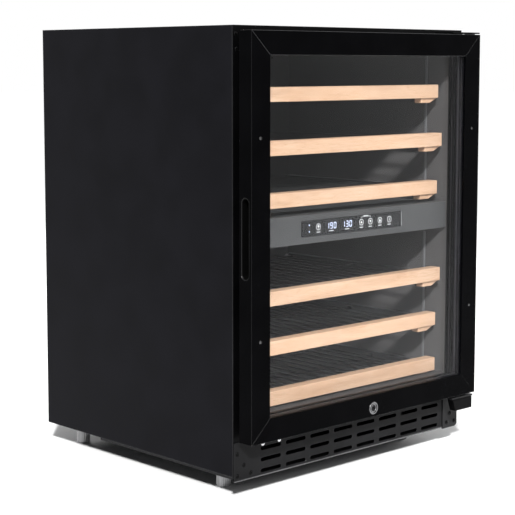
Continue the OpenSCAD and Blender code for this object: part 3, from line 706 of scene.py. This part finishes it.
def make_lock():
    """A ring with a groove round a plug that has a key slot, and the cam behind the door; the groove and the
    slot's walls are near-black, painted shade.
    """
    body, barrel = separate_solids("lock_body")[0], separate_solids("lock_barrel")[0]
    x, z = middle_of(body, 0), middle_of(body, 2)
    back, front = max(point.y for point in body), min(point.y for point in body)
    full = back - front
    flange, outer, bore = full - 2.9, 11.3, 5.6
    made = bmesh.new()
    # The groove's faces (index 1) take the near-black second finish: painted shade in the gap round the plug.
    turn(made, (x, back, z), (0, -1, 0), [
        (0, 6.75), (flange, 6.75), (flange, outer), (full - 0.5, outer), (full - 0.1, outer - 0.4),
        (full, outer - 0.9), (full, 9.3), (full - 0.3, 9.0, 1), (full - 1.4, 8.8, 1), (full - 1.4, 7.4, 1),
        (full - 0.5, 7.2), (full - 0.3, 6.9), (full - 0.3, 6.0), (full - 0.7, bore), (0, bore),
    ], evenly(64), bored=True)
    ring = add_finish(smooth(make_piece("lock_ring", made, "lock_chrome", "door")), "grip_plastic")
    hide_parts("lock_body")

    tip, tail = min(point.y for point in barrel), max(point.y for point in barrel)
    cam = [point for point in barrel if point.x < x - 6]
    near, far = min(point.y for point in cam), max(point.y for point in cam)
    made = bmesh.new()
    depth = tail - tip
    # The key slot's walls (index 1) take the near-black second finish: painted shade inside the slot.
    turn(made, (x, tail, z), (0, -1, 0), [
        (0, 4.6), (0.5, 5.4), (depth - 0.4, 5.4), (depth, 5.0), (depth, 4.6), (depth, key_slot(1.0), 1),
        (depth - 3.5, key_slot(0.92), 1),
    ], [math.radians(step * 5) + KEY_LEAN for step in range(72)])
    end = min(point.x for point in cam) + 5
    tongue = [(x, z - 5), (x, z + 5), *[
        (end + 5 * math.cos(a), z + 5 * math.sin(a)) for a in [math.radians(90 + 15 * i) for i in range(13)]]]
    prism(made, tongue, near, far)
    plug = add_finish(smooth(make_piece("lock_plug", made, "lock_steel", "lock")), "grip_plastic")
    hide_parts("lock_barrel")


GASKET_PROFILE = [
    (0, 0), (0, 2.2), (2.6, 3.4), (1.4, 5.4), (2.8, 7.4), (1.4, 9.4), (1.4, 13.6), (2.4, 14.7),
    (8.6, 14.7), (9.6, 13.6), (9.6, 9.4), (8.2, 7.4), (9.6, 5.4), (8.4, 3.4), (11, 2.2), (11, 0),
]


def make_gasket():
    """A pleated magnetic seal: a wide foot, two pleats and a flat face towards the cabinet."""
    low, high = [Vector(corner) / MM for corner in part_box("door_gasket")]
    made = bmesh.new()
    loops = []
    for inset, depth in GASKET_PROFILE:
        corners = [
            (low.x + inset, low.z + inset), (high.x - inset, low.z + inset),
            (high.x - inset, high.z - inset), (low.x + inset, high.z - inset),
        ]
        loops.append([made.verts.new(Vector((x, low.y + depth, z)) * MM) for x, z in corners])
    for first, second in zip(loops, loops[1:] + loops[:1]):
        for i in range(4):
            j = (i + 1) % 4
            made.faces.new((first[i], first[j], second[j], second[i]))
    gasket = make_piece("pleated_gasket", made, "gasket_grey", "door")
    smooth(gasket, math.radians(60))
    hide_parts("door_gasket")


def make_spacer_holes():
    """Two rows of drying holes run round the inside of the bar between the panes."""
    low, high = [Vector(corner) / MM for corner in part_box("glazing_spacer")]
    wall, proud, pitch = 7.0, 0.05, 3.3
    made = bmesh.new()

    def dash(low_corner, high_corner):
        size = Vector(high_corner) - Vector(low_corner)
        corners = bmesh.ops.create_cube(made, size=1)["verts"]
        for vert in corners:
            vert.co = (Vector(low_corner) + Vector(
                (vert.co[k] + 0.5) * size[k] for k in range(3))) * MM

    for depth, width in ((3.0, 1.0), (9.4, 1.8)):
        y = low.y + depth
        z = low.z + wall + 6
        while z < high.z - wall - 6:
            for side in (-1, 1):
                inner = side * (high.x - wall)
                ends = sorted((inner - side * proud, inner + side * 0.2))
                dash((ends[0], y, z), (ends[1], y + width, z + 1.9))
            z += pitch
        x = low.x + wall + 6
        while x < high.x - wall - 6:
            dash((x, y, low.z + wall - 0.2), (x + 1.9, y + width, low.z + wall + proud))
            dash((x, y, high.z - wall - proud), (x + 1.9, y + width, high.z - wall + 0.2))
            x += pitch
    make_piece("spacer_holes", made, "perforation", "door")


# ---- control panel ----

SEGMENTS = {"0": "abcdef", "1": "bc", "3": "abgcd", "9": "abcdfg"}
DIGIT_W, DIGIT_H, STROKE = 6.4, 11.4, 1.25


def segment_outline(segment, x, z):
    """A bar of a seven-segment digit with pointed ends, around the digit's centre."""
    half_w, half_h, s = DIGIT_W / 2 - STROKE / 2, DIGIT_H / 2 - STROKE / 2, STROKE / 2
    flat = {"a": half_h, "g": 0, "d": -half_h}
    if segment in flat:
        y, reach = flat[segment], half_w - 0.15
        shape = [(-reach, 0), (-reach + s, -s), (reach - s, -s), (reach, 0), (reach - s, s), (-reach + s, s)]
        return [(x + dx, z + y + dz) for dx, dz in shape]
    side = half_w if segment in "bc" else -half_w
    y = half_h / 2 if segment in "bf" else -half_h / 2
    reach = half_h / 2 - 0.15
    shape = [(0, -reach), (s, -reach + s), (s, reach - s), (0, reach), (-s, reach - s), (-s, -reach + s)]
    return [(x + side + dx, z + y + dz) for dx, dz in shape]


def circle(x, z, radius, count=40):
    return [(x + radius * math.cos(a), z + radius * math.sin(a)) for a in evenly(count)]


def bar(x, z, width, height):
    return [
        (x - width / 2, z - height / 2), (x + width / 2, z - height / 2),
        (x + width / 2, z + height / 2), (x - width / 2, z + height / 2),
    ]


def key_icons(x, z):
    """A plain mark for each touch key: its outlines, by the key's place on the glass."""
    return {
        -90: [circle(x, z + 0.9, 2.0, 16), bar(x, z - 2.2, 1.6, 1.2)],
        22: [[(x - 2.6, z - 1.8), (x + 2.6, z - 1.8), (x, z + 2.6)]],
        46: [[(x - 2.6, z + 1.8), (x, z - 2.6), (x + 2.6, z + 1.8)]],
        72: [circle(x, z - 0.9, 2.1, 16), [(x - 1.7, z + 0.3), (x + 1.7, z + 0.3), (x, z + 3.2)]],
        98: [bar(x, z, 1.2, 5.0)],
    }[x]


def make_control_prints():
    """Two read-outs, five touch keys with a bar under each, and a bright metal strip on the glass's right
    edge, a painted highlight of its bevel.
    """
    low, high = [Vector(corner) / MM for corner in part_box("control_glass")]
    near, far = low.y - 0.06, low.y + 0.1
    row = (low.z + high.z) / 2 + 1.5
    lit, ink = bmesh.new(), bmesh.new()
    for centre, number in ((-57, "190"), (-16, "130")):
        for place, digit in enumerate(number):
            for segment in SEGMENTS[digit]:
                prism(lit, segment_outline(segment, centre + (place - 1) * 9.3, row), near, far)
    for x in (-90, 22, 46, 72, 98):
        strip(ink, circle(x, row, 4.9), circle(x, row, 5.8), near, far)
        for outline in key_icons(x, row):
            prism(ink, outline, near, far)
        prism(ink, bar(x, row - 9.2, 9, 1.1), near, far)
    for x in (-57, -16):
        prism(ink, bar(x, row - 9.2, 11, 1.1), near, far)
    for z in (row + 4.6, row - 7):
        prism(lit, circle(-113, z, 1.2, 20), near, far)
    prism(ink, bar(34, row + 9.6, 24, 0.5), near, far)
    for x in (22, 46):
        prism(ink, bar(x, row + 8.4, 0.5, 1.9), near, far)
    prism(ink, bar(34, row + 11.2, 13, 1.1), near, far)
    # A bright strip standing proud of the glass's right edge: a painted highlight of the polished bevel.
    edge = bmesh.new()
    prism(edge, bar(high.x - 0.4, (low.z + high.z) / 2, 1.2, high.z - low.z - 3), near, far)
    make_piece("glass_edge_highlight", edge, "bright_screw", "cabinet")
    make_piece("read_out_digits", lit, "read_out", "cabinet")
    make_piece("key_prints", ink, "key_print", "cabinet")


# Rounding of edges in millimetres, and the lighter finish that the rounded faces take, a painted highlight
# line along the edges.
ROUNDED = {
    "left_side_panel": (0.5, "cabinet_edge_highlight"), "right_side_panel": (0.5, "cabinet_edge_highlight"),
    "top_panel": (0.4, "cabinet_edge_highlight"), "front_frame": (0.3, "cabinet_edge_highlight"), "kick_plate": (0.4, "cabinet_edge_highlight"),
    "top_rail": (1.2, "frame_edge_highlight"), "bottom_rail": (1.2, "frame_edge_highlight"), "grip_stile": (1.2, "frame_edge_highlight"),
    "hinge_stile": (1.2, "frame_edge_highlight"), "grip_cup": (0.5, None), "bottom_hinge_bracket": (0.5, None),
    "top_hinge_bracket": (0.5, None), "hinge_cover": (0.8, None), "control_glass": (0.5, None),
    "zone_divider": (0.8, None), "glazing_spacer": (0.3, None), "power_box": (2.0, None),
    "drip_tray": (0.6, None),
}


def main():
    make_camera()
    make_world()
    make_lights()
    dress_nodes()
    for node_name, (width, edge) in ROUNDED.items():
        rounded_copy(node_name, width, edge=edge)
    for i in range(1, 7):
        rounded_copy(f"shelf_{i}_board", 0.8)
    make_cabinet_screws()
    make_rear_screws()
    make_kick_hem()
    make_frame_plugs()
    make_lock()
    make_feet()
    make_gasket()
    make_spacer_holes()
    make_control_prints()


def make_floor():
    """A plain pale floor, wide enough to fill every view."""
    floor = bmesh.new()
    reach, cells = 30.0, 24
    bmesh.ops.create_grid(floor, x_segments=cells, y_segments=cells, size=reach)
    mesh = bpy.data.meshes.new("floor")
    floor.to_mesh(mesh)
    floor.free()
    piece = bpy.data.objects.new("floor", mesh)
    bpy.context.scene.collection.objects.link(piece)
    s = Surface("pale_floor")
    mesh.materials.append(s.finish(s.shader(
        Base_Color=s.ramp(s.noise(2, 3), (0.3, (0.945, 0.945, 0.945)), (0.7, (0.96, 0.96, 0.96))),
        Roughness=s.spread(s.noise(40, 3), 0.8, 0.9), Specular_IOR_Level=0.0,
    )))


make_floor()
main()
